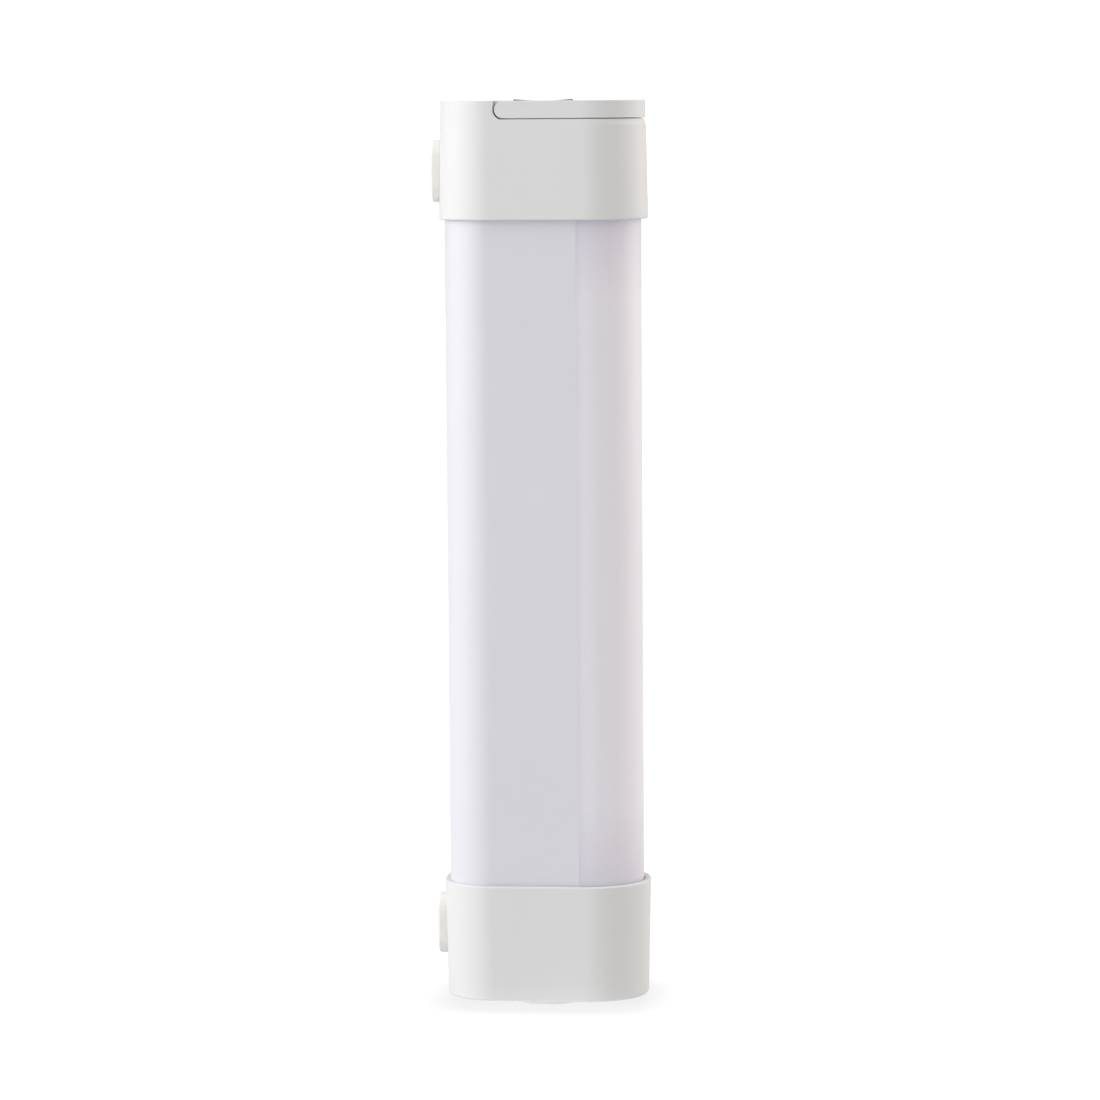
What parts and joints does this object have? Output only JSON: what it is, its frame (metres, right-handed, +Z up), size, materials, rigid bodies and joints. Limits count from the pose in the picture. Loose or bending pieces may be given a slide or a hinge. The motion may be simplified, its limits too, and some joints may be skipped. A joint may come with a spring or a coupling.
{
  "type": "led light tube",
  "caption": "Upright rechargeable bar light: opaque rear, translucent front diffuser, white end caps, folding bail, top button, round foot and magnetic rear pads.",
  "frame": {"origin": "centre of the foot's flat underside, where the light stands on a table", "axes": "+Z up along the tube, +X towards the diffuser, -X towards the two rear pads, +Y towards the charging port"},
  "size_m": [0.0598, 0.034, 0.2519],
  "materials": {
    "white_plastic": "fine satin moulded white plastic",
    "rear_plastic": "smooth cool white extruded plastic",
    "frosted_plastic": "milky translucent diffuser, lightly frosted",
    "pad_silicone": "soft warm grey silicone",
    "foot_rubber": "matt off-white rubber",
    "button_plastic": "dark grey satin plastic",
    "seal_rubber": "matt black rubber",
    "inner_plastic": "matt black moulded plastic",
    "aluminium": "mill finish",
    "steel": "plated steel",
    "cell_wrap": "blue shrink-wrapped cell",
    "lead_red": "red wire insulation",
    "white_board": "white solder mask",
    "green_board": "green solder mask"
  },
  "bodies": {
    "housing": {"top_cap": "white_plastic", "bottom_cap": "white_plastic", "hinge_pin_near": "steel", "hinge_pin_far": "steel", "rear_housing": "rear_plastic", "diffuser": "frosted_plastic", "top_gasket": "seal_rubber", "bottom_gasket": "seal_rubber", "top_bulkhead": "inner_plastic", "bottom_bulkhead": "inner_plastic", "led_carrier": "aluminium", "led_board": "white_board", "battery_cradle": "inner_plastic", "lower_cell": "cell_wrap", "upper_cell": "cell_wrap", "lower_strip": "steel", "middle_strip": "steel", "upper_strip": "steel", "control_board": "green_board", "driver_inductor": "button_plastic", "charger_chip": "button_plastic", "board_capacitor_1": "button_plastic", "board_capacitor_2": "button_plastic", "board_capacitor_3": "button_plastic", "board_capacitor_4": "button_plastic", "charge_port": "steel", "port_tongue": "button_plastic", "tactile_switch": "button_plastic", "upper_pad": "pad_silicone", "lower_pad": "pad_silicone", "upper_magnet": "steel", "lower_magnet": "steel", "foot": "foot_rubber", "bottom_cap_screw_1": "steel", "bottom_cap_screw_2": "steel", "top_cap_screw_1": "steel", "top_cap_screw_2": "steel", "board_screw_1": "steel", "board_screw_2": "steel", "carrier_screw_1": "steel", "carrier_screw_2": "steel", "battery_lead_negative": "seal_rubber", "battery_lead_positive": "lead_red", "led_lead_negative": "seal_rubber", "led_lead_positive": "lead_red"},
    "bail": {"bail": "white_plastic"},
    "button": {"power_button": "button_plastic", "switch_plunger": "button_plastic"}
  },
  "joints": [
    {"name": "bail_hinge", "type": "hinge", "parent": "housing", "child": "bail", "pos_m": [-0.0096, 0, 0.2491], "axis": [0, -1, 0], "range_deg": [0, 90]},
    {"name": "button_press", "type": "slide", "parent": "housing", "child": "button", "axis": [0, 0, -1], "range_m": [0, 0.0007], "stiffness_N_per_m": 1500}
  ]
}
